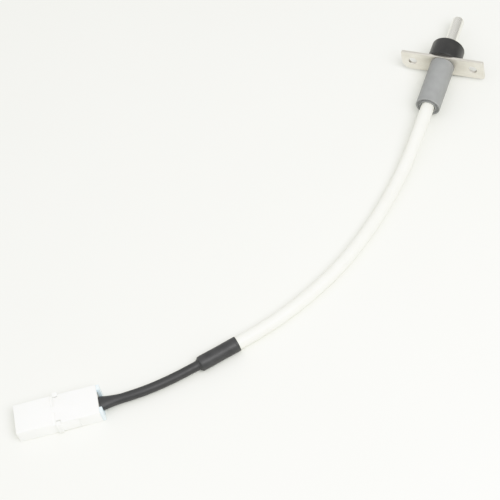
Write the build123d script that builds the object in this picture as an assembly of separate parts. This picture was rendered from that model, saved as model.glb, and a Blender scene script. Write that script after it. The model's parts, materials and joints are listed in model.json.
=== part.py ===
from build123d import *
import os
from math import cos, pi, radians, sin, tan

# Flame sensor probe with a mounting flange, a sleeved lead, a joint to a black cable and a
# two-way nylon connector. Millimetres, +Z up. The probe's axis is the Y axis and its tip points
# to +Y. The origin is on that axis, on the flange's mounting face, which the collar sits against.
# The part lies on a table at TABLE_Z: the collar, the lead, the joint sleeve and the connector
# touch it.

# ---------------------------------------------------------------- driving dimensions
# Probe head: distances along the probe's axis, from the flange's mounting face
STEM_D = 4.76                 # 3/16 inch stainless tube
STEM_WALL = 0.5
STEM_TIP = 23.0
STEM_BACK = -8.6
TIP_ROUND = 1.1
TIP_WALL = 0.6
COLLAR_D = 13.0
COLLAR_LENGTH = 8.0
FLANGE_LENGTH = 33.0
FLANGE_WIDTH = 9.5
FLANGE_THICKNESS = 1.0
SCREW_SPACING = 24.0
SCREW_HOLE_D = 3.4            # clears an M3 screw
BUSH_TAIL_D = 6.3
BUSH_TAIL_END = -8.0
BUSH_SHOULDER_D = 8.4
BUSH_SHOULDER_LENGTH = 0.8
BOOT_D = 9.5
BOOT_BORE_D = 5.6
BOOT_END = -22.0

# Electrical pieces inside the head and the joint
BEAD_D = 2.3
CORE_OFFSET = 0.9             # each core lies this far from the axis
CORE_D = 1.0
FERRULE_D = 1.7
FERRULE_LENGTH = 4.4
FERRULE_START = -10.0         # front end of the ferrules in the head
ELEMENT_WIRE_D = 0.5
PLUG_LENGTH = 4.0

# Cords
LEAD_D = 5.0
LEAD_START = -19.0            # the lead starts this deep inside the boot
CABLE_D = 3.6
GRIP = 5.0                    # how far each cord reaches into the joint sleeve

# Joint sleeve, shrunk over the end of the lead and the start of the cable
JOINT_START = (-38.336, -137.022)
JOINT_ANGLE = -132.7
JOINT_LENGTH = 16.2
JOINT_D = 5.7

# Connector: local x runs from the mating end to the cable, local z from the table up
CONNECTOR_CENTRE = (-92.222, -179.739)
CONNECTOR_ANGLE = 29.9
HOUSING_LENGTH = 30.5
HOUSING_WIDTH = 12.0
HOUSING_HEIGHT = 6.5
WAY_OFFSET = 2.3              # each of the two ways is this far from the middle
CAVITY_SIDE = 3.2
FRONT_WALL = 0.8              # wall at the mating end, with a window for each pin
PIN_WINDOW_SIDE = 2.2
CONTACT_WALL = 0.35
CABLE_BOOT_LENGTH = 7.95
CABLE_BOOT_WIDTH = 6.2
CABLE_BOOT_HEIGHT = 3.9
CABLE_BOOT_Y = -0.4           # its wide end sits a little to one side
CABLE_BOOT_Z = 2.9            # and a little low
CABLE_EXIT_Z = 2.5            # height of the cable's axis above the table, where it enters
CABLE_EXIT_TURN = 3.0         # its angle to the connector's axis there
WIRE_D = 1.3
ARM_PIVOT_X = 7.1             # root of each latch arm
ARM_THICKNESS = 0.75
ARM_BOTTOM = 0.4
ARM_SWING = 0.55              # room for each arm to bend inwards
ARM_TOP = 5.5                 # each arm runs under a roof; only its pad reaches the top
PAD_FRONT = -0.7              # front face of each latch pad
PAD_LENGTH = 1.7
PAD_STANDS_PROUD = 1.0
PAD_CLEARANCE = 0.12          # gap before and behind each pad, which its swing stays within
GROOVE_FRONT = -1.9           # shallow groove in the top, in front of each pad
GROOVE_DEPTH = 0.7
GROOVE_INNER = 1.3
CLIP_BAR = 0.5                # retainer: its bar, its ears and its legs
EAR_INNER = 3.6
EAR_OUTER = 5.8
EAR_DEPTH = 1.1
LEG_START = 10.0
LEG_INNER = 4.3
LEG_OUTER = 5.1
LEG_LOW = 2.0
LEG_HIGH = 4.5

GAP = 0.05                    # working clearance between neighbouring pieces

# ---------------------------------------------------------------- derived places
TABLE_Z = -COLLAR_D / 2
STEM_BORE_D = STEM_D - 2 * STEM_WALL
STEM_BORE_END = STEM_TIP - TIP_WALL
INSULATOR_TIP = STEM_BORE_END - 4.2
BEAD_PLACE = STEM_BORE_END - 1.9
ELEMENT_WIRE_END = FERRULE_START - 2.0
LEAD_CORE_FRONT = ELEMENT_WIRE_END - 0.1
HOUSING_BACK = HOUSING_LENGTH / 2
HOUSING_SIDE = HOUSING_WIDTH / 2
WAY_Z = HOUSING_HEIGHT / 2
CABLE_BOOT_END = HOUSING_BACK + CABLE_BOOT_LENGTH
ARM_INNER = HOUSING_SIDE - ARM_THICKNESS
RECESS_FRONT = PAD_FRONT - PAD_CLEARANCE
PAD_BACK = PAD_FRONT + PAD_LENGTH

# Each frame has its axis along local x. In the head frame local x is the part's Y.
HEAD = Location((0, 0, 0), (0, 0, 90))
JOINT = Location((*JOINT_START, TABLE_Z + JOINT_D / 2), (0, 0, JOINT_ANGLE))
CONNECTOR = Location((*CONNECTOR_CENTRE, TABLE_Z), (0, 0, CONNECTOR_ANGLE))

parts = {}


# ---------------------------------------------------------------- helpers
def add(name, shape, frame=Location()):
    parts[name] = frame * shape


def turned(*outline):
    """A solid turned about local x from a closed outline of (x, radius) points."""
    return revolve(make_face(Polyline(*outline, close=True)), Axis.X)


def rod(diameter, x0, x1, y=0.0, z=0.0):
    """A round bar along local x."""
    bar = Cylinder(diameter / 2, x1 - x0, align=(Align.CENTER, Align.CENTER, Align.MIN))
    return Location((x0, y, z), (0, 90, 0)) * bar


def pipe(outer_d, inner_d, x0, x1, y=0.0, z=0.0):
    """A round tube along local x."""
    return rod(outer_d, x0, x1, y, z) - rod(inner_d, x0, x1, y, z)


def block(x_span, y_span, z_span):
    """A box between two values on each local axis."""
    spans = [sorted(span) for span in (x_span, y_span, z_span)]
    size = [high - low for low, high in spans]
    return Location([low for low, high in spans]) * Box(*size, align=(Align.MIN, Align.MIN, Align.MIN))


def rounded_route(points):
    """Straight runs joined by tangent arcs, each as large as its two runs allow."""
    corners = [Vector(*point) for point in points]
    radii = []
    for before, corner, after in zip(corners, corners[1:], corners[2:]):
        run_in = corner - before
        run_out = after - corner
        half_turn = radians(run_in.get_angle(run_out)) / 2
        radii.append(0.45 * min(run_in.length, run_out.length) / tan(half_turn))
    return FilletPolyline(*corners, radius=radii), radii


def cord(name, points, diameter):
    """A plain solid cord along a route. Prints its arcs, and its volume against its length."""
    route, radii = rounded_route(points)
    section = Plane(origin=route @ 0, z_dir=route % 0) * Circle(diameter / 2)
    solid = sweep(section, path=route)
    add(name, solid)
    print(name, "length", round(route.length, 1), "radii", [round(radius, 1) for radius in radii])
    print(name, "volume", round(solid.volume, 1), "of", round(pi * diameter**2 / 4 * route.length, 1))


# ---------------------------------------------------------------- probe head
def make_stem():
    """Closed stainless tube with a flat tip and a rounded rim."""
    stem = rod(STEM_D, STEM_BACK, STEM_TIP)
    stem = fillet(stem.edges().group_by(Axis.X)[-1], TIP_ROUND)
    add("probe_stem", stem - rod(STEM_BORE_D, STEM_BACK, STEM_BORE_END), HEAD)


def make_sensing_core():
    """Bead, twin-bore insulator, the bead's two wires, and the filler that carries heat to it."""
    bead = Location((BEAD_PLACE, 0, 0)) * Sphere(BEAD_D / 2)
    insulator = rod(STEM_BORE_D - 2 * GAP, STEM_BACK, INSULATOR_TIP)
    filler = rod(STEM_BORE_D - 2 * GAP, INSULATOR_TIP + GAP, STEM_BORE_END - GAP) - bead
    for name, side in (("element_wire_a", 1), ("element_wire_b", -1)):
        offset = side * CORE_OFFSET
        wire = rod(ELEMENT_WIRE_D, ELEMENT_WIRE_END, BEAD_PLACE, y=offset) - bead
        insulator -= rod(ELEMENT_WIRE_D + 2 * GAP, STEM_BACK, INSULATOR_TIP, y=offset)
        filler -= wire
        add(name, wire, HEAD)
    add("sensing_bead", bead, HEAD)
    add("ceramic_insulator", insulator, HEAD)
    add("tip_filler", filler, HEAD)


def make_flange():
    """Plate with two screw holes and a centre hole. One lower corner is cut much rounder."""
    outline = Plane.YZ * Rectangle(FLANGE_LENGTH, FLANGE_WIDTH)
    cut_corner = (0, FLANGE_LENGTH / 2, -FLANGE_WIDTH / 2)
    corners = outline.vertices().sort_by_distance(cut_corner)
    outline = fillet(corners[1:], 0.9)
    corners = outline.vertices().sort_by_distance(cut_corner)
    outline = fillet(corners[0], 3.6)
    plate = extrude(outline, -FLANGE_THICKNESS)
    for y in (-SCREW_SPACING / 2, SCREW_SPACING / 2):
        plate -= rod(SCREW_HOLE_D, -FLANGE_THICKNESS, 0, y=y)
    plate -= rod(BUSH_TAIL_D + 2 * GAP, -FLANGE_THICKNESS, 0)
    add("flange_plate", plate, HEAD)


def make_bush():
    """Turned bush that holds the stem in the plate: a shoulder in front and a tail behind."""
    bore = STEM_D / 2 + GAP / 2
    tail = BUSH_TAIL_D / 2
    shoulder = BUSH_SHOULDER_D / 2
    bush = turned(
        (BUSH_TAIL_END, bore),
        (BUSH_TAIL_END, tail - 0.3),
        (BUSH_TAIL_END + 0.3, tail),
        (0, tail),
        (0, shoulder),
        (BUSH_SHOULDER_LENGTH, shoulder),
        (BUSH_SHOULDER_LENGTH, bore),
    )
    add("flange_bush", bush, HEAD)


def make_collar():
    """Black collar that seats in the wall's hole. Its back clears the bush's shoulder."""
    outer = COLLAR_D / 2
    bore = STEM_D / 2 + GAP
    relief = BUSH_SHOULDER_D / 2 + GAP
    collar = turned(
        (0, relief),
        (0, outer),
        (COLLAR_LENGTH, outer),
        (COLLAR_LENGTH, bore + 0.4),
        (COLLAR_LENGTH - 0.4, bore),
        (BUSH_SHOULDER_LENGTH + GAP, bore),
        (BUSH_SHOULDER_LENGTH + GAP, relief),
    )
    front_rim = collar.edges().group_by(Axis.X)[-1].sort_by(SortBy.RADIUS)[-1]
    collar = fillet(front_rim, 0.7)
    back_rim = collar.edges().group_by(Axis.X)[0].sort_by(SortBy.RADIUS)[-1]
    add("sealing_collar", fillet(back_rim, 0.25), HEAD)


def make_boot():
    """Grey boot pushed over the bush's tail. Its open end holds the root of the lead."""
    outer = BOOT_D / 2
    front = -FLANGE_THICKNESS
    grip = BUSH_TAIL_D / 2
    bore = BOOT_BORE_D / 2
    boot = turned(
        (front, grip),
        (front, outer),
        (BOOT_END, outer),
        (BOOT_END, bore),
        (STEM_BACK - 0.5, bore),
        (STEM_BACK - 0.5, grip),
    )
    end_rims = boot.edges().group_by(Axis.X)[0]
    add("lead_boot", fillet(end_rims, 0.15), HEAD)


def make_head_splices():
    """Crimped ferrules that join the element wires to the lead's cores, and the potting plug."""
    plug_front = LEAD_START + PLUG_LENGTH
    plug = rod(BOOT_BORE_D - GAP, LEAD_START + GAP, plug_front)
    ferrule_span = (FERRULE_START - FERRULE_LENGTH, FERRULE_START)
    for letter, side in (("a", 1), ("b", -1)):
        offset = side * CORE_OFFSET
        ferrule = pipe(FERRULE_D, CORE_D + GAP, *ferrule_span, y=offset)
        core = rod(CORE_D, LEAD_START + GAP, LEAD_CORE_FRONT, y=offset)
        plug -= rod(CORE_D + GAP, LEAD_START, plug_front, y=offset)
        add(f"head_ferrule_{letter}", ferrule, HEAD)
        add(f"lead_core_{letter}", core, HEAD)
    add("potting_plug", plug, HEAD)


# ---------------------------------------------------------------- cords and their joint
# Each route starts and ends in line with the piece that holds it.
LEAD_ROUTE = [
    (0.0, -19.0, 0.0),
    (0.0, -30.0, 0.0),
    (-0.71, -41.77, -2.0),
    (-2.06, -52.97, -3.8),
    (-3.60, -64.06, -4.0),
    (-5.65, -74.97, -4.0),
    (-8.21, -85.07, -4.0),
    (-11.57, -95.10, -4.0),
    (-15.92, -104.95, -4.0),
    (-21.18, -114.41, -4.0),
    (-27.23, -123.60, -4.0),
    (-34.538, -132.906, -3.65),
    (-41.726, -140.696, -3.65),
]
CABLE_ROUTE = [
    (-45.931, -145.253, -3.65),
    (-51.763, -151.573, -3.65),
    (-59.283, -158.464, -4.2),
    (-66.653, -164.644, -4.0),
    (-72.111, -168.175, -4.0),
]


def make_joint_sleeve():
    """Shrunk tube: full size to a rounded shoulder, where its end closes on the cable."""
    outer = JOINT_D / 2
    lead_bore = LEAD_D / 2 + GAP
    cable_bore = CABLE_D / 2 + GAP
    closing = JOINT_LENGTH - 2.6
    sleeve = turned(
        (0, lead_bore),
        (0, outer),
        (JOINT_LENGTH, outer),
        (JOINT_LENGTH, cable_bore),
        (closing, cable_bore),
        (closing - 0.8, lead_bore),
    )
    for end, rounding in ((0, 0.15), (-1, 0.85)):
        rim = sleeve.edges().group_by(Axis.X)[end].sort_by(SortBy.RADIUS)[-1]
        sleeve = fillet(rim, rounding)
    add("joint_sleeve", sleeve, JOINT)


def make_joint_splices():
    """Ferrules on the two cores, between the end of the lead and the start of the cable."""
    core_span = (GRIP + GAP, JOINT_LENGTH - GRIP - GAP)
    middle = JOINT_LENGTH / 2
    ferrule_span = (middle - FERRULE_LENGTH / 2, middle + FERRULE_LENGTH / 2)
    for letter, side in (("a", 1), ("b", -1)):
        offset = side * CORE_OFFSET
        add(f"joint_core_{letter}", rod(CORE_D, *core_span, y=offset), JOINT)
        ferrule = pipe(FERRULE_D, CORE_D + GAP, *ferrule_span, y=offset)
        add(f"joint_ferrule_{letter}", ferrule, JOINT)


# ---------------------------------------------------------------- connector
def make_housing():
    """White nylon body with two ways, side recesses for the latch arms and retainer slots."""
    height = (0, HOUSING_HEIGHT)
    body = block((-HOUSING_BACK, HOUSING_BACK), (-HOUSING_SIDE, HOUSING_SIDE), height)
    body = fillet(body.edges().filter_by(Axis.X), 0.5)
    body = chamfer(body.edges().group_by(Axis.X)[0], 0.35)
    half = CAVITY_SIDE / 2
    window = PIN_WINDOW_SIDE / 2
    wall_back = -HOUSING_BACK + FRONT_WALL
    for side in (1, -1):
        way = side * WAY_OFFSET
        cavity = (way - half, way + half), (WAY_Z - half, WAY_Z + half)
        body -= block((wall_back, HOUSING_BACK), *cavity)
        pin_window = (way - window, way + window), (WAY_Z - window, WAY_Z + window)
        body -= block((-HOUSING_BACK, wall_back), *pin_window)
        recess_floor = side * (ARM_INNER - ARM_SWING)
        recess_y = (recess_floor, side * (HOUSING_SIDE + 1))
        roof = ARM_TOP + 2 * GAP
        body -= block((RECESS_FRONT, PAD_BACK + PAD_CLEARANCE), recess_y, height)
        body -= block((RECESS_FRONT, ARM_PIVOT_X + 0.4), recess_y, (0, roof))
        groove_y = (side * GROOVE_INNER, side * HOUSING_SIDE)
        groove_z = (HOUSING_HEIGHT - GROOVE_DEPTH, HOUSING_HEIGHT)
        body -= block((GROOVE_FRONT, PAD_FRONT), groove_y, groove_z)
        slot_y = (side * (LEG_INNER - GAP), side * (LEG_OUTER + GAP))
        slot_z = (LEG_LOW - 2 * GAP, LEG_HIGH + 2 * GAP)
        body -= block((LEG_START - 4 * GAP, HOUSING_BACK), slot_y, slot_z)
    add("connector_housing", body, CONNECTOR)


def make_latch_arms():
    """Sprung arm with a finger pad in each side recess. It bends at its rear root."""
    for name, side in (("latch_arm_left", 1), ("latch_arm_right", -1)):
        inner = side * ARM_INNER
        outer = side * HOUSING_SIDE
        arm = block((PAD_FRONT, ARM_PIVOT_X), (inner, outer), (ARM_BOTTOM, ARM_TOP))
        pad_y = (inner, outer + side * PAD_STANDS_PROUD)
        pad = block((PAD_FRONT, PAD_BACK), pad_y, (0.9, HOUSING_HEIGHT))
        pad_rims = pad.edges().filter_by(Axis.Z).group_by(Axis.Y)[-1 if side > 0 else 0]
        pad = fillet(pad_rims, 0.35)
        root_y = (inner + outer) / 2
        root_align = (Align.CENTER, Align.CENTER, Align.MIN)
        root = Cylinder(ARM_THICKNESS / 2, ARM_TOP - ARM_BOTTOM, align=root_align)
        arm += pad + Location((ARM_PIVOT_X, root_y, ARM_BOTTOM)) * root
        add(name, arm, CONNECTOR)


def make_retainer():
    """Pale blue clip behind the housing: a low bar, an ear each side and two legs."""
    start = HOUSING_BACK + GAP
    rim_z = (0.25, HOUSING_HEIGHT - 0.25)
    bar_z = (rim_z[0], rim_z[0] + CLIP_BAR)
    clip = block((start, start + EAR_DEPTH), (-EAR_OUTER, EAR_OUTER), bar_z)
    for side in (1, -1):
        clip += block((start, start + EAR_DEPTH), (side * EAR_INNER, side * EAR_OUTER), rim_z)
        leg_y = (side * LEG_INNER, side * LEG_OUTER)
        clip += block((LEG_START, start), leg_y, (LEG_LOW, LEG_HIGH))
    clip = fillet(clip.edges().filter_by(Axis.Z).group_by(Axis.X)[-1], 0.3)
    add("terminal_retainer", clip, CONNECTOR)


def make_contacts():
    """Crimp contact in each way: a box for the pin, then a core barrel and a wire barrel."""
    for letter, side in (("a", 1), ("b", -1)):
        way = side * WAY_OFFSET
        half = CAVITY_SIDE / 2 - 2 * GAP
        inner = half - CONTACT_WALL
        box_x = (-HOUSING_BACK + 0.9, -7.0)
        contact = block(box_x, (way - half, way + half), (WAY_Z - half, WAY_Z + half))
        contact -= block(box_x, (way - inner, way + inner), (WAY_Z - inner, WAY_Z + inner))
        contact += block((-7.4, 3.9), (way - 0.6, way + 0.6), (WAY_Z - half, WAY_Z - 0.8))
        contact += pipe(1.9, CORE_D + 2 * GAP, -3.2, 0.3, y=way, z=WAY_Z)
        contact += pipe(2.1, WIRE_D + 2 * GAP, 1.6, 3.9, y=way, z=WAY_Z)
        contact -= rod(WIRE_D + 2 * GAP, 0.3, 3.9, y=way, z=WAY_Z)
        add(f"contact_{letter}", contact, CONNECTOR)


def make_connector_wires():
    """Insulated wire from each contact to the cable's end, with a bare tip in its barrel."""
    for letter, side in (("a", 1), ("b", -1)):
        way = side * WAY_OFFSET
        wire_end = (CABLE_BOOT_END - 0.25, side * 0.68, CABLE_EXIT_Z)
        corners = [(1.0, way, WAY_Z), (8.0, way, WAY_Z), wire_end]
        route, radii = rounded_route(corners)
        section = Plane(origin=route @ 0, z_dir=route % 0) * Circle(WIRE_D / 2)
        wire = sweep(section, path=route) + rod(CORE_D, -2.9, 1.0, y=way, z=WAY_Z)
        add(f"connector_wire_{letter}", wire, CONNECTOR)
    print("connector wires' radius", round(radii[0], 1))


def make_cable_boot():
    """End of the cable's jacket, flared to an oval where the two wires part."""
    across = (0, 1, 0)
    wide = Plane(origin=(HOUSING_BACK, CABLE_BOOT_Y, CABLE_BOOT_Z), x_dir=across, z_dir=(1, 0, 0))
    wires = Plane(origin=(HOUSING_BACK, 0, CABLE_BOOT_Z), x_dir=across, z_dir=(1, 0, 0))
    turn = radians(CABLE_EXIT_TURN)
    exit_place = (CABLE_BOOT_END, 0, CABLE_EXIT_Z)
    narrow = Plane(origin=exit_place, x_dir=(-sin(turn), cos(turn), 0), z_dir=(cos(turn), sin(turn), 0))
    # The narrow end is a hair off round, so that both ends of the loft are the same kind of curve
    narrow_end = Ellipse(CABLE_D / 2, CABLE_D / 2 - 0.001)
    wide_end = Ellipse(CABLE_BOOT_WIDTH / 2, CABLE_BOOT_HEIGHT / 2)
    outside = loft([wide * wide_end, narrow * narrow_end])
    tunnel = loft([wires * SlotOverall(4.6, 1.5), narrow * SlotOverall(2.9, 1.5)])
    add("cable_boot", outside - tunnel, CONNECTOR)


make_stem()
make_sensing_core()
make_flange()
make_bush()
make_collar()
make_boot()
make_head_splices()
cord("white_lead", LEAD_ROUTE, LEAD_D)
make_joint_sleeve()
make_joint_splices()
cord("black_cable", CABLE_ROUTE, CABLE_D)
make_cable_boot()
make_connector_wires()
make_contacts()
make_housing()
make_latch_arms()
make_retainer()

os.makedirs("parts", exist_ok=True)
for name, shape in parts.items():
    export_step(shape, f"parts/{name}.step")
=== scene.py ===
import json
from math import cos, exp, pi, radians, sin, tan

import bmesh
import bpy
from mathutils import Matrix, Vector


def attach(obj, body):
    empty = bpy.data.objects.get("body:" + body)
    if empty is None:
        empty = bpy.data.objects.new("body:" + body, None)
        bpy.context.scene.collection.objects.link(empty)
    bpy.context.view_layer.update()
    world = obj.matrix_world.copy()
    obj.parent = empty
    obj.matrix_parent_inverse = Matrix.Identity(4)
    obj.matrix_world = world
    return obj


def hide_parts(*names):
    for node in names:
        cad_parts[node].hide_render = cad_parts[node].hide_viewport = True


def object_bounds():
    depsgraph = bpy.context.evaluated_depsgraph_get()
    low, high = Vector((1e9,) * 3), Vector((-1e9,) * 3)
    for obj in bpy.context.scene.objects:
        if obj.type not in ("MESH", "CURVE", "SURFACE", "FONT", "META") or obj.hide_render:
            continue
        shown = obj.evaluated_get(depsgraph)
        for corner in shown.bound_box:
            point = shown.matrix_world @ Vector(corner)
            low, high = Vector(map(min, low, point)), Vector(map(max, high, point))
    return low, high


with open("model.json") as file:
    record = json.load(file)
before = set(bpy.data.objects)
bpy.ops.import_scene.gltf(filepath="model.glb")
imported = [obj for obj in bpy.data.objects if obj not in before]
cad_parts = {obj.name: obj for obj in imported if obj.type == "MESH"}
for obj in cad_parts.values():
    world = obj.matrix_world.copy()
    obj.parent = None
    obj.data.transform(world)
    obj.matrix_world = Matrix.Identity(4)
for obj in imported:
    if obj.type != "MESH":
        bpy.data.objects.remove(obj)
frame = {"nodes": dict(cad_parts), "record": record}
cad_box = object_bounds()

# Flame sensor probe, lying on a pale table. Shapes are written in millimetres, each in the frame
# of the piece that it belongs to, and brought into the row frame (metres) by place().
MM = 0.001
RECORD = frame["record"]
MOUNTS = {mount["name"]: mount for mount in RECORD["mounts"]}
TABLE_Z = cad_box[0].z

# ---------------------------------------------------------------- cords
# The routes of the two cords, in millimetres, as the part has them
LEAD_D = 5.0
LEAD_ROUTE = [
    (0.0, -19.0, 0.0),
    (0.0, -30.0, 0.0),
    (-0.71, -41.77, -2.0),
    (-2.06, -52.97, -3.8),
    (-3.60, -64.06, -4.0),
    (-5.65, -74.97, -4.0),
    (-8.21, -85.07, -4.0),
    (-11.57, -95.10, -4.0),
    (-15.92, -104.95, -4.0),
    (-21.18, -114.41, -4.0),
    (-27.23, -123.60, -4.0),
    (-34.538, -132.906, -3.65),
    (-41.726, -140.696, -3.65),
]
CABLE_D = 3.6
CABLE_ROUTE = [
    (-45.931, -145.253, -3.65),
    (-51.763, -151.573, -3.65),
    (-59.283, -158.464, -4.2),
    (-66.653, -164.644, -4.0),
    (-72.111, -168.175, -4.0),
]
GRIP = 5.0                    # how far each cord reaches into the joint sleeve

# ---------------------------------------------------------------- sizes of the pieces
STEM_D = 4.76
STEM_BORE_D = 3.76
STEM_TIP = 23.0
STEM_BACK = -8.6
STEM_BORE_END = 22.4
TIP_ROUND = 1.1
COLLAR_D = 13.0
COLLAR_LENGTH = 8.0
COLLAR_RIM = 0.7
SHOULDER_D = 8.4
SHOULDER_LENGTH = 0.8
FLANGE_LENGTH = 33.0
FLANGE_WIDTH = 9.5
FLANGE_THICKNESS = 1.0
FLANGE_CORNER = 0.9
FLANGE_CUT_CORNER = 3.6
FLANGE_BURR = 0.12            # rounding of the sheared edges
SCREW_SPACING = 24.0
SCREW_HOLE_D = 3.4
BUSH_TAIL_D = 6.3
BOOT_D = 9.5
BOOT_BORE_D = 5.6
BOOT_END = -22.0
JOINT_LENGTH = 16.2
JOINT_D = 5.7
HOUSING_LENGTH = 30.5
HOUSING_WIDTH = 12.0
HOUSING_HEIGHT = 6.5
HOUSING_EDGE = 0.5            # rounding of the edges along it
WAY_OFFSET = 2.3
CAVITY_SIDE = 3.2
FRONT_WALL = 0.8
PIN_WINDOW_SIDE = 2.2
CABLE_BOOT_LENGTH = 7.95
CABLE_BOOT_WIDTH = 6.2
CABLE_BOOT_HEIGHT = 3.9
CABLE_BOOT_Y = -0.4           # its wide end sits a little to one side
CABLE_BOOT_Z = 2.9            # and a little low
CABLE_EXIT_Z = 2.5            # height of the cable's axis above the table, where it enters
CABLE_EXIT_TURN = 3.0         # its angle to the connector's axis there
ARM_PIVOT_X = 7.1
ARM_THICKNESS = 0.75
ARM_BOTTOM = 0.4
ARM_SWING = 0.55
ARM_TOP = 5.5
PAD_FRONT = -0.7
PAD_LENGTH = 1.7
PAD_CLEARANCE = 0.12
PAD_BOTTOM = 0.9
PAD_PROUD = 1.0               # how far the finger pad stands out of the housing's side
GRIP_PITCH = 0.5              # grooves across the finger pad
GRIP_WIDTH = 0.2
GRIP_DEPTH = 0.22
GROOVE_FRONT = -1.9
GROOVE_DEPTH = 0.7
GROOVE_INNER = 1.3
CLIP_BAR = 0.5
EAR_INNER = 3.6
EAR_OUTER = 5.8
EAR_DEPTH = 1.1
LEG_START = 10.0
LEG_INNER = 4.3
LEG_OUTER = 5.1
LEG_LOW = 2.0
LEG_HIGH = 4.5
GAP = 0.05

HOUSING_BACK = HOUSING_LENGTH / 2
HOUSING_SIDE = HOUSING_WIDTH / 2
WAY_Z = HOUSING_HEIGHT / 2
ARM_INNER = HOUSING_SIDE - ARM_THICKNESS
RECESS_FRONT = PAD_FRONT - PAD_CLEARANCE
PAD_BACK = PAD_FRONT + PAD_LENGTH


# ---------------------------------------------------------------- frames
def axes_frame(origin, along):
    """Frame in millimetres with local x along a level direction and local z up."""
    x = Vector(along).normalized()
    z = Vector((0, 0, 1))
    y = z.cross(x)
    turn = Matrix((x, y, z)).transposed().to_4x4()
    return Matrix.Translation(Vector(origin)) @ turn


def joint_frame():
    """The joint sleeve's frame: local x from its mouth, round the lead, to the cable."""
    lead_end = Vector(LEAD_ROUTE[-1])
    along = (Vector(CABLE_ROUTE[0]) - lead_end).normalized()
    return axes_frame(lead_end - GRIP * along, along)


def connector_frame():
    """The connector's frame: local x from its mating end to its cable, local z from the table."""
    mount = MOUNTS["mating_end"]
    mating_end = Vector(mount["pos_m"]) / MM
    along = -Vector(mount["axis"])
    return axes_frame(mating_end + HOUSING_BACK * along - Vector((0, 0, WAY_Z)), along)


HEAD = axes_frame((0, 0, 0), (0, 1, 0))
JOINT = joint_frame()
CONNECTOR = connector_frame()


# ---------------------------------------------------------------- materials
class Graph:
    """A material's node tree, with short ways to add its nodes and to join them."""

    def __init__(self, name):
        self.material = bpy.data.materials.new(name)
        self.material.use_nodes = True
        self.tree = self.material.node_tree
        self.tree.nodes.clear()
        output = self.tree.nodes.new("ShaderNodeOutputMaterial")
        self.shader = self.tree.nodes.new("ShaderNodeBsdfPrincipled")
        self.tree.links.new(self.shader.outputs["BSDF"], output.inputs["Surface"])
        self.place = self.add("ShaderNodeTexCoord").outputs["Object"]

    def feed(self, socket, value):
        """Links an output to a socket, or sets the socket's own value."""
        if isinstance(value, bpy.types.NodeSocket):
            self.tree.links.new(value, socket)
        else:
            socket.default_value = value

    def add(self, kind, inputs=None, **settings):
        """A new node with its inputs fed and its settings made."""
        node = self.tree.nodes.new(kind)
        for key, value in settings.items():
            setattr(node, key, value)
        for key, value in (inputs or {}).items():
            self.feed(node.inputs[key], value)
        return node

    def surface(self, **inputs):
        """Feeds the shader's inputs, each named in lower case with underscores."""
        for key, value in inputs.items():
            self.feed(self.shader.inputs[key.replace("_", " ").title()], value)

    def noise(self, size, detail=3.0, stretch=(1, 1, 1), rough=0.5):
        """Noise whose spots are about size millimetres across, drawn out along stretch."""
        scale = [1 / (size * MM * factor) for factor in stretch]
        spot = self.add("ShaderNodeMapping", {"Vector": self.place, "Scale": scale})
        inputs = {
            "Vector": spot.outputs["Vector"],
            "Scale": 1.0,
            "Detail": detail,
            "Roughness": rough,
        }
        return self.add("ShaderNodeTexNoise", inputs).outputs["Fac"]

    def between(self, factor, low, high, start=0.3, end=0.7):
        """A value from low to high as the factor goes from start to end."""
        inputs = {
            "Value": factor,
            "From Min": start,
            "From Max": end,
            "To Min": low,
            "To Max": high,
        }
        return self.add("ShaderNodeMapRange", inputs).outputs["Result"]

    def mixed(self, factor, first, second):
        """A colour from first to second as the factor goes from 0 to 1."""
        node = self.add("ShaderNodeMix", data_type="RGBA")
        self.feed(node.inputs["Factor"], factor)
        colour_a, colour_b, colour_out = node.inputs[6], node.inputs[7], node.outputs[2]
        for socket, colour in ((colour_a, first), (colour_b, second)):
            is_linked = isinstance(colour, bpy.types.NodeSocket)
            self.feed(socket, colour if is_linked else (*colour, 1.0))
        return colour_out

    def bump(self, height, depth, below=None):
        """A bump of the given depth in millimetres, over another bump if there is one."""
        inputs = {"Height": height, "Strength": 1.0, "Distance": depth * MM}
        if below is not None:
            inputs["Normal"] = below
        return self.add("ShaderNodeBump", inputs).outputs["Normal"]


def metal(name, colour, worn, roughness, grain, depth=0.004):
    """Drawn or rolled metal: fine streaks along the grain, cloudy sheen and a few scratches."""
    graph = Graph(name)
    short_grain = [0.35 * factor + 0.4 for factor in grain]
    streaks = graph.noise(size=0.06, detail=4.0, stretch=grain)
    broad = graph.noise(size=0.35, detail=2.0, stretch=grain)
    clouds = graph.noise(size=2.6)
    scratches = graph.noise(size=0.16, detail=2.0, stretch=short_grain)
    tone = graph.mixed(graph.between(clouds, 0, 1), colour, worn)
    darker = [0.82 * part for part in colour]
    tone = graph.mixed(graph.between(broad, 0, 0.35), tone, darker)
    matt = graph.between(streaks, *roughness)
    rough = graph.add("ShaderNodeMath", operation="ADD")
    graph.feed(rough.inputs[0], matt)
    graph.feed(rough.inputs[1], graph.between(clouds, -0.04, 0.05))
    normal = graph.bump(streaks, depth)
    scratched = graph.between(scratches, 0, 1, start=0.62, end=0.72)
    normal = graph.bump(scratched, depth, normal)
    graph.surface(base_color=tone, metallic=1.0, roughness=rough.outputs["Value"], normal=normal)
    graph.shader.inputs["Anisotropic"].default_value = 0.35
    return graph.material


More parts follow.
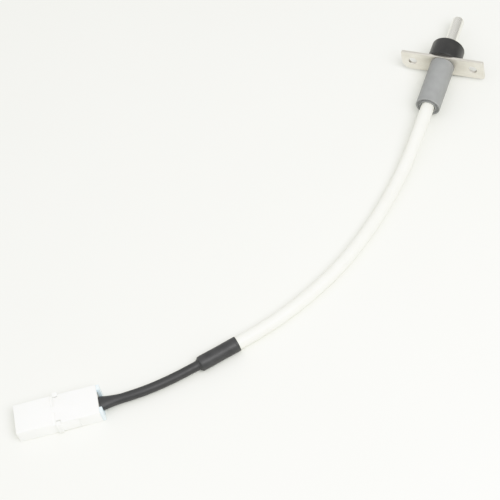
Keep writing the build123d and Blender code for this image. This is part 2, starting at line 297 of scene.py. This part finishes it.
def moulded(name, colour, faded, roughness, grain=0.12, depth=0.004, glow=0.0):
    """Moulded rubber, silicone or plastic: fine texture, cloudy colour, dust and soft wear."""
    graph = Graph(name)
    fine = graph.noise(size=grain, detail=4.0)
    cloud = graph.noise(size=4.0)
    smear = graph.noise(size=1.1, detail=5.0, stretch=(1, 2.2, 1), rough=0.6)
    tone = graph.mixed(graph.between(cloud, 0, 1), colour, faded)
    dusty = graph.between(smear, 0, 0.5, start=0.56, end=0.8)
    tone = graph.mixed(dusty, tone, faded)
    rough = graph.add("ShaderNodeMath", operation="ADD")
    graph.feed(rough.inputs[0], graph.between(fine, *roughness))
    graph.feed(rough.inputs[1], graph.between(smear, -0.03, 0.06))
    normal = graph.bump(fine, depth)
    normal = graph.bump(cloud, depth * 6, normal)
    graph.surface(base_color=tone, roughness=rough.outputs["Value"], normal=normal)
    if glow:
        graph.shader.inputs["Subsurface Weight"].default_value = glow
        graph.shader.inputs["Subsurface Radius"].default_value = (1.0, 0.9, 0.8)
        graph.shader.inputs["Subsurface Scale"].default_value = 0.6 * MM
    return graph.material


# Every material: a colour, a second colour in its clouds and wear, and a span of roughness.
# A metal also has its grain, which is how far its streaks are drawn out along each axis.
METALS = {
    "stainless": ((0.96, 0.945, 0.89), (0.91, 0.895, 0.835), (0.24, 0.34), (1, 40, 1)),
    "plate_steel": ((0.82, 0.79, 0.73), (0.76, 0.725, 0.665), (0.34, 0.48), (40, 1, 1)),
    "element_alloy": ((0.60, 0.58, 0.55), (0.5, 0.48, 0.45), (0.3, 0.4), (1, 30, 1)),
    "tinned_copper": ((0.75, 0.74, 0.72), (0.7, 0.62, 0.54), (0.3, 0.42), (1, 1, 1)),
    "tinned_brass": ((0.78, 0.74, 0.62), (0.74, 0.66, 0.48), (0.24, 0.36), (1, 1, 1)),
}
MOULDINGS = {
    "black_rubber": ((0.018, 0.018, 0.018), (0.03, 0.029, 0.028), (0.28, 0.4)),
    "grey_rubber": ((0.275, 0.28, 0.278), (0.31, 0.315, 0.313), (0.5, 0.62)),
    "bead_ceramic": ((0.86, 0.84, 0.78), (0.8, 0.77, 0.7), (0.6, 0.75)),
    "potting": ((0.75, 0.75, 0.73), (0.7, 0.7, 0.67), (0.35, 0.5)),
    "white_sleeving": ((0.865, 0.865, 0.795), (0.835, 0.835, 0.76), (0.4, 0.5)),
    "black_shrink": ((0.024, 0.024, 0.025), (0.042, 0.042, 0.043), (0.4, 0.55)),
    "black_jacket": ((0.024, 0.024, 0.025), (0.036, 0.036, 0.037), (0.4, 0.52)),
    "white_nylon": ((0.955, 0.96, 0.92), (0.935, 0.94, 0.90), (0.35, 0.45)),
    "pale_blue": ((0.74, 0.88, 0.95), (0.78, 0.90, 0.96), (0.3, 0.4)),
}
MOULDING_SETTINGS = {
    "white_sleeving": {"glow": 0.1},
    "white_nylon": {"grain": 0.2, "depth": 0.003, "glow": 0.2},
    "pale_blue": {"glow": 0.1},
}
MATERIALS = {name: metal(name, *values) for name, values in METALS.items()}
for name, values in MOULDINGS.items():
    MATERIALS[name] = moulded(name, *values, **MOULDING_SETTINGS.get(name, {}))


# ---------------------------------------------------------------- mesh helpers
def rounded(corners, steps=5):
    """Closed outline from (x, y, radius) corners, each corner with a radius made into an arc."""
    outline = []
    for index, (x, y, radius) in enumerate(corners):
        corner = Vector((x, y))
        if radius == 0:
            outline.append(corner)
            continue
        back = (Vector(corners[index - 1][:2]) - corner).normalized()
        onward = (Vector(corners[(index + 1) % len(corners)][:2]) - corner).normalized()
        half = back.angle(onward) / 2
        centre = corner + (back + onward).normalized() * radius / sin(half)
        start = (corner + back * radius / tan(half) - centre).normalized()
        end = (corner + onward * radius / tan(half) - centre).normalized()
        for step in range(steps + 1):
            outline.append(centre + radius * start.slerp(end, step / steps))
    return outline


def divided(outline, longest):
    """The same closed outline with points added, so that no side is longer than a length."""
    points = []
    for index, point in enumerate(outline):
        onward = outline[(index + 1) % len(outline)]
        pieces = max(1, int((onward - point).length / longest + 0.999))
        points += [point.lerp(onward, piece / pieces) for piece in range(pieces)]
    return points


def rings_mesh(rings):
    """Closed mesh from rings of points, each joined to the next and the last to the first."""
    mesh = bmesh.new()
    loops = [[mesh.verts.new(point) for point in ring] for ring in rings]
    for index, loop in enumerate(loops):
        onward = loops[(index + 1) % len(loops)]
        for step in range(len(loop)):
            after = (step + 1) % len(loop)
            mesh.faces.new((loop[step], loop[after], onward[after], onward[step]))
    return mesh


def turned(outline, around=96, shape=None):
    """A tube turned about local x from a closed outline of (x, radius) points."""
    rings = []
    for x, radius in outline:
        ring = []
        for step in range(around):
            angle = 2 * pi * step / around
            reach = shape(x, angle, radius) if shape else radius
            ring.append((x, reach * cos(angle), reach * sin(angle)))
        rings.append(ring)
    return rings_mesh(rings)


def block(x_span, y_span, z_span):
    """A box between two values on each axis."""
    spans = [sorted(span) for span in (x_span, y_span, z_span)]
    middle = [(low + high) / 2 for low, high in spans]
    size = [high - low for low, high in spans]
    mesh = bmesh.new()
    bmesh.ops.create_cube(mesh, matrix=Matrix.LocRotScale(Vector(middle), None, Vector(size)))
    return mesh


def post(diameter, z_span, x, y, around=24):
    """A round bar along local z."""
    low, high = z_span
    mesh = bmesh.new()
    bmesh.ops.create_cone(
        mesh, cap_ends=True, segments=around, radius1=diameter / 2, radius2=diameter / 2,
        depth=high - low, matrix=Matrix.Translation((x, y, (low + high) / 2)),
    )
    return mesh


def temporary(mesh):
    """An object that holds a bmesh while modifiers work on it."""
    data = bpy.data.meshes.new("temporary")
    mesh.to_mesh(data)
    mesh.free()
    holder = bpy.data.objects.new("temporary", data)
    bpy.context.scene.collection.objects.link(holder)
    return holder


def evaluated(holder):
    """The bmesh that an object's modifiers give. The object is removed."""
    graph = bpy.context.evaluated_depsgraph_get()
    data = bpy.data.meshes.new_from_object(holder.evaluated_get(graph), depsgraph=graph)
    mesh = bmesh.new()
    mesh.from_mesh(data)
    bpy.data.meshes.remove(data)
    bpy.data.objects.remove(holder)
    return mesh


def combined(body, operation, others):
    """A body with other meshes taken away from it or joined to it, one after another."""
    for other in others:
        holder = temporary(body)
        tool = temporary(other)
        step = holder.modifiers.new("combine", "BOOLEAN")
        step.operation = operation
        step.solver = "EXACT"
        step.object = tool
        body = evaluated(holder)
        bpy.data.objects.remove(tool)
    bmesh.ops.remove_doubles(body, verts=body.verts, dist=1e-4)
    bmesh.ops.dissolve_limit(body, angle_limit=radians(0.5), verts=body.verts, edges=body.edges)
    return body


def softened(body, width, segments=2, sharper_than=40):
    """A body with its sharp edges rounded."""
    holder = temporary(body)
    step = holder.modifiers.new("soften", "BEVEL")
    step.width = width
    step.segments = segments
    step.limit_method = "ANGLE"
    step.angle_limit = radians(sharper_than)
    step.use_clamp_overlap = True
    step.miter_outer = "MITER_ARC"
    return evaluated(holder)


def place(name, mesh, position, body, slot, nodes, smooth=35):
    """Puts a mesh in the row frame as a piece that stands for CAD nodes and rides on a body."""
    bmesh.ops.transform(mesh, matrix=Matrix.Scale(MM, 4) @ position, verts=mesh.verts)
    bmesh.ops.recalc_face_normals(mesh, faces=mesh.faces)
    data = bpy.data.meshes.new(name)
    mesh.to_mesh(data)
    mesh.free()
    data.polygons.foreach_set("use_smooth", [True] * len(data.polygons))
    data.set_sharp_from_angle(angle=radians(smooth))
    piece = bpy.data.objects.new(name, data)
    bpy.context.scene.collection.objects.link(piece)
    return dressed(piece, body, slot, nodes)


def dressed(piece, body, slot, nodes):
    """Gives a piece its material and the body that it rides on, and hides the CAD nodes it stands
    for.
    """
    piece.data.materials.append(MATERIALS[slot])
    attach(piece, body)
    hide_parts(*nodes)
    return piece


# ---------------------------------------------------------------- probe head
def make_stem():
    """Closed tube with a flat tip. The tip's middle is a disc too small to see."""
    outer = STEM_D / 2
    bore = STEM_BORE_D / 2
    pole = 0.01
    outline = rounded([
        (STEM_BACK, bore, 0),
        (STEM_BACK, outer, 0.1),
        (STEM_TIP, outer, TIP_ROUND),
        (STEM_TIP, pole, 0),
        (STEM_BORE_END, pole, 0),
        (STEM_BORE_END, bore, 0.2),
    ], steps=10)
    place("stem_tube", turned(outline, 128), HEAD, "probe", "stainless", ["probe_stem"])


def make_collar():
    """Moulded collar: rounded front rim, countersunk bore and a shallow ring in its face."""
    outer = COLLAR_D / 2
    bore = STEM_D / 2 + GAP
    relief = SHOULDER_D / 2 + GAP
    ring_inner = 3.8          # shallow ring in the front face
    ring_outer = 4.9
    ring_slope = 0.1          # how far its walls lean
    ring_depth = 0.18
    countersink = 0.4
    outline = rounded([
        (0, relief, 0),
        (0, outer, 0.25),
        (COLLAR_LENGTH, outer, COLLAR_RIM),
        (COLLAR_LENGTH, ring_outer, 0.08),
        (COLLAR_LENGTH - ring_depth, ring_outer - ring_slope, 0.08),
        (COLLAR_LENGTH - ring_depth, ring_inner + ring_slope, 0.08),
        (COLLAR_LENGTH, ring_inner, 0.08),
        (COLLAR_LENGTH, bore + countersink, 0.1),
        (COLLAR_LENGTH - countersink, bore, 0.1),
        (SHOULDER_LENGTH + GAP, bore, 0),
        (SHOULDER_LENGTH + GAP, relief, 0),
    ], steps=6)
    place("collar", turned(outline, 160), HEAD, "probe", "black_rubber", ["sealing_collar"])


def make_boot():
    """Grey silicone boot, a little uneven, with a ring sunk in its end."""
    outer = BOOT_D / 2
    bore = BOOT_BORE_D / 2
    grip = BUSH_TAIL_D / 2
    step_x = STEM_BACK - 0.5
    groove = 0.9              # depth of the ring sunk in the boot's end
    lip = 0.4                 # width of the boot's end on each side of that ring
    lean = 0.15               # how far the ring's walls lean

    def uneven(x, angle, radius):
        if radius < outer - 0.6:
            return radius
        return radius - 0.03 - 0.03 * sin(2 * angle + 0.21 * x) * sin(0.4 * x)

    outline = rounded([
        (-FLANGE_THICKNESS, grip, 0),
        (-FLANGE_THICKNESS, outer, 0.3),
        (BOOT_END, outer, 0.14),
        (BOOT_END, outer - lip, 0.1),
        (BOOT_END + groove, outer - lip - lean, 0.1),
        (BOOT_END + groove, bore + lip + lean, 0.1),
        (BOOT_END, bore + lip, 0.1),
        (BOOT_END, bore, 0.14),
        (step_x, bore, 0),
        (step_x, grip, 0),
    ], steps=4)
    mesh = turned(divided(outline, 0.8), 96, uneven)
    place("boot", mesh, HEAD, "probe", "grey_rubber", ["lead_boot"])


def circle(radius, x, steps=56):
    """A circle of points about a centre on the outline's own x axis."""
    angles = [2 * pi * step / steps for step in range(steps)]
    return [Vector((x + radius * cos(angle), radius * sin(angle))) for angle in angles]


def make_flange():
    """Stamped plate with two screw holes: rolled-over edges all round, one corner cut rounder."""
    half_x = FLANGE_LENGTH / 2
    half_z = FLANGE_WIDTH / 2
    outer = rounded([
        (half_x, half_z, FLANGE_CORNER),
        (-half_x, half_z, FLANGE_CORNER),
        (-half_x, -half_z, FLANGE_CUT_CORNER),
        (half_x, -half_z, FLANGE_CORNER),
    ], steps=12)
    hole = SCREW_HOLE_D / 2
    centre_hole = BUSH_TAIL_D / 2 + GAP
    loops = [outer, circle(centre_hole, 0)]
    loops += [circle(hole, x) for x in (-SCREW_SPACING / 2, SCREW_SPACING / 2)]
    curve = bpy.data.curves.new("flange_outline", "CURVE")
    curve.dimensions = "2D"
    curve.fill_mode = "BOTH"
    curve.extrude = FLANGE_THICKNESS / 2 - FLANGE_BURR
    curve.bevel_depth = FLANGE_BURR
    curve.bevel_resolution = 3
    curve.offset = -FLANGE_BURR
    for loop in loops:
        spline = curve.splines.new("POLY")
        spline.points.add(len(loop) - 1)
        for point, corner in zip(spline.points, loop):
            point.co = (*corner, 0, 1)
        spline.use_cyclic_u = True
    holder = bpy.data.objects.new("flange_outline", curve)
    bpy.context.scene.collection.objects.link(holder)
    mesh = evaluated(holder)
    bpy.data.curves.remove(curve)
    bmesh.ops.remove_doubles(mesh, verts=mesh.verts, dist=1e-4)
    # The outline's x is the row's X and its y is the row's Z; the plate's thickness runs along Y
    upright = Matrix.Translation((0, -FLANGE_THICKNESS / 2, 0)) @ Matrix.Rotation(pi / 2, 4, "X")
    place("flange", mesh, upright, "probe", "plate_steel", ["flange_plate"])


# ---------------------------------------------------------------- cords and joint sleeve
def make_cord(name, node, route, diameter, slot):
    """A cord on one smooth curve through the route."""
    curve = bpy.data.curves.new(name, "CURVE")
    curve.dimensions = "3D"
    curve.resolution_u = 24
    curve.bevel_depth = diameter / 2 * MM
    curve.bevel_resolution = 10
    curve.use_fill_caps = True
    spline = curve.splines.new("NURBS")
    spline.points.add(len(route) - 1)
    for point, (x, y, z) in zip(spline.points, route):
        point.co = (x * MM, y * MM, z * MM, 1)
    spline.order_u = 3
    spline.use_endpoint_u = True
    cord = bpy.data.objects.new(name, curve)
    bpy.context.scene.collection.objects.link(cord)
    return dressed(cord, "probe", slot, [node])


def make_joint_sleeve():
    """Shrunk tube: taut over the lead, faintly shaped by the splices, closed down at its neck."""
    outer = JOINT_D / 2
    lead_bore = LEAD_D / 2 + GAP
    cable_bore = CABLE_D / 2 + GAP
    wall = 0.3                # wall of the shrunk tube, where it grips the cable
    neck = cable_bore + wall
    shoulder = JOINT_LENGTH - 0.45
    bulge = JOINT_LENGTH / 2 + 0.6    # middle of the stretch that lies over the splices
    lip = 0.9                 # a faint line round the tube, this far from its mouth
    step_start = JOINT_LENGTH - 3.4
    step_end = JOINT_LENGTH - 2.6

    def near(x, place_x, reach):
        return exp(-((x - place_x) / reach) ** 2)

    def shrunk(x, angle, radius):
        is_neck = radius < neck + wall
        if is_neck:
            return radius
        flat = 0.1 * near(x, bulge, 2.8) * abs(sin(angle)) ** 1.5
        ridge = 0.02 * (1 + sin(2 * angle + 0.5 * x)) * (0.4 + 0.6 * sin(1.3 * x) ** 2)
        ring = 0.06 * near(x, lip, 0.12)
        folds = 1 + sin(7 * angle + 0.6) * cos(3 * angle)
        pleats = 0.03 * near(x, shoulder, 0.5) * folds
        return radius - flat - ridge - ring - pleats

    outline = rounded([
        (0, lead_bore, 0.05),
        (0, outer, 0.15),
        (shoulder, outer, 0.75),
        (shoulder, neck, 0.15),
        (JOINT_LENGTH, neck, 0.12),
        (JOINT_LENGTH, cable_bore, 0.08),
        (step_end, cable_bore, 0),
        (step_start, lead_bore, 0),
    ], steps=8)
    mesh = turned(divided(outline, 0.15), 128, shrunk)
    return place("shrink_sleeve", mesh, JOINT, "probe", "black_shrink", ["joint_sleeve"])


# ---------------------------------------------------------------- connector
def make_cable_boot():
    """End of the jacket: round at the cable, easing out to an oval where the wires part."""
    start = Vector((HOUSING_BACK, CABLE_BOOT_Y, CABLE_BOOT_Z))
    wires_start = Vector((HOUSING_BACK, 0, CABLE_BOOT_Z))
    end = Vector((HOUSING_BACK + CABLE_BOOT_LENGTH, 0, CABLE_EXIT_Z))
    turn = radians(CABLE_EXIT_TURN)
    wide = (CABLE_BOOT_WIDTH / 2, CABLE_BOOT_HEIGHT / 2)
    narrow = (CABLE_D / 2, CABLE_D / 2)
    tunnel_wide = (2.25, 0.75)        # half width and half height, round the two wires
    tunnel_narrow = (1.4, 0.75)
    straight_part = 0.35              # how much of the flare is even. The rest is a curve.
    oval = 1.0
    boxy = 0.6
    around = 72
    steps = 32

    def ring(root, along, halves, square):
        """A ring across the boot, oval at a square of 1 and nearer to a rectangle below it."""
        half_y, half_z = halves
        centre = root.lerp(end, along)
        across = Vector((-sin(turn * along), cos(turn * along), 0))
        points = []
        for step in range(around):
            angle = 2 * pi * step / around
            c, s = cos(angle), sin(angle)
            y = half_y * abs(c) ** square * (1 if c > 0 else -1)
            z = half_z * abs(s) ** square * (1 if s > 0 else -1)
            points.append(centre + y * across + Vector((0, 0, z)))
        return points

    outside = []
    inside = []
    for step in range(steps + 1):
        along = step / steps
        left = 1 - along
        flare = straight_part * left + (1 - straight_part) * left ** 2
        halves = [thin + (thick - thin) * flare for thin, thick in zip(narrow, wide)]
        tunnel = [thick + (thin - thick) * along for thin, thick in zip(tunnel_narrow, tunnel_wide)]
        outside.append(ring(start, along, halves, oval))
        inside.append(ring(wires_start, along, tunnel, boxy))
    mesh = rings_mesh(outside + inside[::-1])
    return place("cable_end", mesh, CONNECTOR, "probe", "black_jacket", ["cable_boot"], 60)


def make_housing():
    """White nylon body: two ways, recesses for the latch arms, slots for the retainer's legs."""
    top = HOUSING_HEIGHT
    body = block((-HOUSING_BACK, HOUSING_BACK), (-HOUSING_SIDE, HOUSING_SIDE), (0, top))
    long_edges = []
    for edge in body.edges:
        start, end = edge.verts
        if abs(start.co.x - end.co.x) > HOUSING_WIDTH:
            long_edges.append(edge)
    bmesh.ops.bevel(
        body, geom=long_edges, offset=HOUSING_EDGE, segments=5, profile=0.5, affect="EDGES",
    )
    half = CAVITY_SIDE / 2
    window = PIN_WINDOW_SIDE / 2
    over = 1.0                # how far each cutter reaches outside the body
    root_room = 0.4           # room behind each arm's pivot
    wall_back = -HOUSING_BACK + FRONT_WALL
    cutters = []
    for side in (1, -1):
        way = side * WAY_OFFSET
        cavity = (way - half, way + half), (WAY_Z - half, WAY_Z + half)
        cutters.append(block((wall_back, HOUSING_BACK + over), *cavity))
        pin_window = (way - window, way + window), (WAY_Z - window, WAY_Z + window)
        cutters.append(block((-HOUSING_BACK - over, wall_back + over), *pin_window))
        floor = ARM_INNER - ARM_SWING
        recess = (side * floor, side * (HOUSING_SIDE + over))
        pad_span = (RECESS_FRONT, PAD_BACK + PAD_CLEARANCE)
        arm_span = (RECESS_FRONT, ARM_PIVOT_X + root_room)
        cutters.append(block(pad_span, recess, (-over, top + over)))
        cutters.append(block(arm_span, recess, (-over, ARM_TOP + 2 * GAP)))
        groove = (side * GROOVE_INNER, side * (HOUSING_SIDE + over))
        cutters.append(block((GROOVE_FRONT, PAD_FRONT), groove, (top - GROOVE_DEPTH, top + over)))
        slot = (side * (LEG_INNER - GAP), side * (LEG_OUTER + GAP))
        slot_z = (LEG_LOW - 2 * GAP, LEG_HIGH + 2 * GAP)
        cutters.append(block((LEG_START - 4 * GAP, HOUSING_BACK + over), slot, slot_z))
    body = combined(body, "DIFFERENCE", cutters)
    body = softened(body, 0.12)
    return place("housing", body, CONNECTOR, "probe", "white_nylon", ["connector_housing"])


def make_latch_arm(name, node, body_name, side):
    """Sprung arm with a grooved finger pad, on a round root at its rear."""
    inner = side * ARM_INNER
    outer = side * HOUSING_SIDE
    pad_outer = outer + side * PAD_PROUD
    over = 1.0                # how far each cutter reaches outside the pad
    arm = block((PAD_FRONT, ARM_PIVOT_X), (inner, outer), (ARM_BOTTOM, ARM_TOP))
    pad = block((PAD_FRONT, PAD_BACK), (inner, pad_outer), (PAD_BOTTOM, HOUSING_HEIGHT))
    root = post(ARM_THICKNESS, (ARM_BOTTOM, ARM_TOP), ARM_PIVOT_X, (inner + outer) / 2)
    arm = combined(arm, "UNION", [pad, root])
    grooves = []
    for step in (1, 2):
        x = PAD_FRONT + GRIP_PITCH * step
        groove_y = (pad_outer - side * GRIP_DEPTH, pad_outer + side * over)
        grooves.append(block((x, x + GRIP_WIDTH), groove_y, (0, HOUSING_HEIGHT + over)))
    arm = combined(arm, "DIFFERENCE", grooves)
    arm = softened(arm, 0.07)
    return place(name, arm, CONNECTOR, body_name, "white_nylon", [node])


def make_retainer():
    """Pale blue clip: a low bar, a rounded ear each side and two legs in the housing."""
    start = HOUSING_BACK + GAP
    low = 0.25
    high = HOUSING_HEIGHT - low
    leg_root = 0.3            # how far each leg runs into its ear
    bar_half = 5.0            # half the bar's length, so that its ends are inside the ears
    clip = block((start, start + EAR_DEPTH), (-bar_half, bar_half), (low, low + CLIP_BAR))
    sides = []
    for side in (1, -1):
        ear_y = (side * EAR_INNER, side * EAR_OUTER)
        sides.append(block((start, start + EAR_DEPTH), ear_y, (low, high)))
        leg_y = (side * LEG_INNER, side * LEG_OUTER)
        sides.append(block((LEG_START, start + leg_root), leg_y, (LEG_LOW, LEG_HIGH)))
    clip = combined(clip, "UNION", sides)
    clip = softened(clip, 0.15)
    return place("retainer_clip", clip, CONNECTOR, "retainer", "pale_blue", ["terminal_retainer"])


make_stem()
make_collar()
make_boot()
make_flange()
lead = make_cord("lead", "white_lead", LEAD_ROUTE, LEAD_D, "white_sleeving")
sleeve = make_joint_sleeve()
cable = make_cord("cable", "black_cable", CABLE_ROUTE, CABLE_D, "black_jacket")
connector_pieces = [
    make_cable_boot(),
    make_housing(),
    make_latch_arm("latch_left_arm", "latch_arm_left", "latch_left", 1),
    make_latch_arm("latch_right_arm", "latch_arm_right", "latch_right", -1),
    make_retainer(),
]

# The other CAD nodes are inside the pieces above, and keep their own shapes
for part in RECORD["subparts"]:
    node = frame["nodes"][part["node"]]
    node.data.materials.clear()
    node.data.materials.append(MATERIALS[part["material_slot"]])


# ---------------------------------------------------------------- table, light and camera
def make_table():
    """A large pale matt table under the part."""
    graph = Graph("table")
    cloud = graph.noise(size=90)
    fine = graph.noise(size=0.5)
    tone = graph.mixed(graph.between(cloud, 0, 1), (0.875, 0.88, 0.825), (0.86, 0.865, 0.81))
    rough = graph.between(fine, 0.6, 0.7)
    graph.surface(base_color=tone, roughness=rough, normal=graph.bump(fine, 0.004))
    mesh = bmesh.new()
    bmesh.ops.create_grid(mesh, x_segments=1, y_segments=1, size=3.0)
    data = bpy.data.meshes.new("table")
    mesh.to_mesh(data)
    mesh.free()
    table = bpy.data.objects.new("table", data)
    table.location.z = TABLE_Z
    data.materials.append(graph.material)
    bpy.context.scene.collection.objects.link(table)


VIEW_TARGET = Vector((-48.50, -95.81, -6.5))
VIEW_AZIMUTH = -33.39
VIEW_ELEVATION = 54.13
VIEW_ROLL = -17.23
VIEW_DISTANCE = 654.38
LENS = 126.0
SENSOR_WIDTH = 36.0
CLIP_METRES = (0.01, 20.0)


def make_camera():
    """Camera at the photograph's viewing angle, a little tilted about its own line of sight."""
    azimuth = radians(VIEW_AZIMUTH)
    elevation = radians(VIEW_ELEVATION)
    roll = radians(VIEW_ROLL)
    ahead = Vector((sin(azimuth) * cos(elevation), cos(azimuth) * cos(elevation), -sin(elevation)))
    level = Vector((cos(azimuth), -sin(azimuth), 0))
    above = level.cross(ahead)
    right = cos(roll) * level + sin(roll) * above
    up = cos(roll) * above - sin(roll) * level
    turn = Matrix((right, up, -ahead)).transposed().to_4x4()
    data = bpy.data.cameras.new("camera")
    data.lens = LENS
    data.sensor_width = SENSOR_WIDTH
    data.clip_start, data.clip_end = CLIP_METRES
    camera = bpy.data.objects.new("camera", data)
    camera.matrix_world = Matrix.Translation((VIEW_TARGET - VIEW_DISTANCE * ahead) * MM) @ turn
    bpy.context.scene.collection.objects.link(camera)
    bpy.context.scene.camera = camera
    return right, up


def make_softbox(name, direction, distance, size, power):
    """A square lamp that faces the middle of the part: metres and watts."""
    data = bpy.data.lights.new(name, "AREA")
    data.size = size
    data.energy = power
    lamp = bpy.data.objects.new(name, data)
    target = VIEW_TARGET * MM
    towards = direction.normalized()
    lamp.matrix_world = towards.to_track_quat("Z", "Y").to_matrix().to_4x4()
    lamp.location = target + distance * towards
    bpy.context.scene.collection.objects.link(lamp)


def make_studio_walls(bright_side):
    """Pale surroundings, brighter towards one side and overhead, for soft uneven reflections."""
    world = bpy.data.worlds.new("studio")
    world.use_nodes = True
    nodes = world.node_tree.nodes
    links = world.node_tree.links
    direction = nodes.new("ShaderNodeTexCoord").outputs["Generated"]
    facing = nodes.new("ShaderNodeVectorMath")
    facing.operation = "DOT_PRODUCT"
    facing.inputs[1].default_value = bright_side.normalized()
    links.new(direction, facing.inputs[0])
    strength = nodes.new("ShaderNodeMapRange")
    # From is the cosine of the angle to the bright side, and To is the strength
    limits = {"From Min": -0.8, "From Max": 0.9, "To Min": 0.42, "To Max": 0.84}
    for key, value in limits.items():
        strength.inputs[key].default_value = value
    links.new(facing.outputs["Value"], strength.inputs["Value"])
    background = nodes["Background"]
    background.inputs["Color"].default_value = (1.0, 1.0, 0.985, 1.0)
    links.new(strength.outputs["Result"], background.inputs["Strength"])
    bpy.context.scene.world = world


make_table()
view_right, view_up = make_camera()
overhead = Vector((0, 0, 1))
key_side = 0.7 * view_right - 0.8 * view_up + 1.8 * overhead
fill_side = overhead - 0.4 * view_right
make_softbox("key", key_side, distance=0.9, size=0.5, power=5.5)
make_softbox("fill", fill_side, distance=1.0, size=1.0, power=1.0)
make_studio_walls(overhead - 0.9 * view_right)


BRIGHTEST = 1.4               # scene brightness that is shown as full white
RESPONSE = (
    (0.3, 0.3),
    (0.6, 0.6),
    (0.8, 0.765),
    (0.96, 0.865),
    (1.09, 0.925),
    (1.2, 0.965),
)


def set_exposure_response():
    """Bright exposure whose whites roll off softly, so that they keep some shape."""
    view = bpy.context.scene.view_settings
    view.view_transform = "Standard"
    view.use_curve_mapping = True
    response = view.curve_mapping
    response.white_level = (BRIGHTEST, BRIGHTEST, BRIGHTEST)
    curve = response.curves[3]
    curve.points[0].location = (0.0, 0.0)
    curve.points[1].location = (1.0, 1.0)
    # Scene brightness and what is shown for it: straight up to 0.6, then rolling off to white
    for scene_value, shown_value in RESPONSE:
        curve.points.new(scene_value / BRIGHTEST, shown_value)
    response.update()


set_exposure_response()
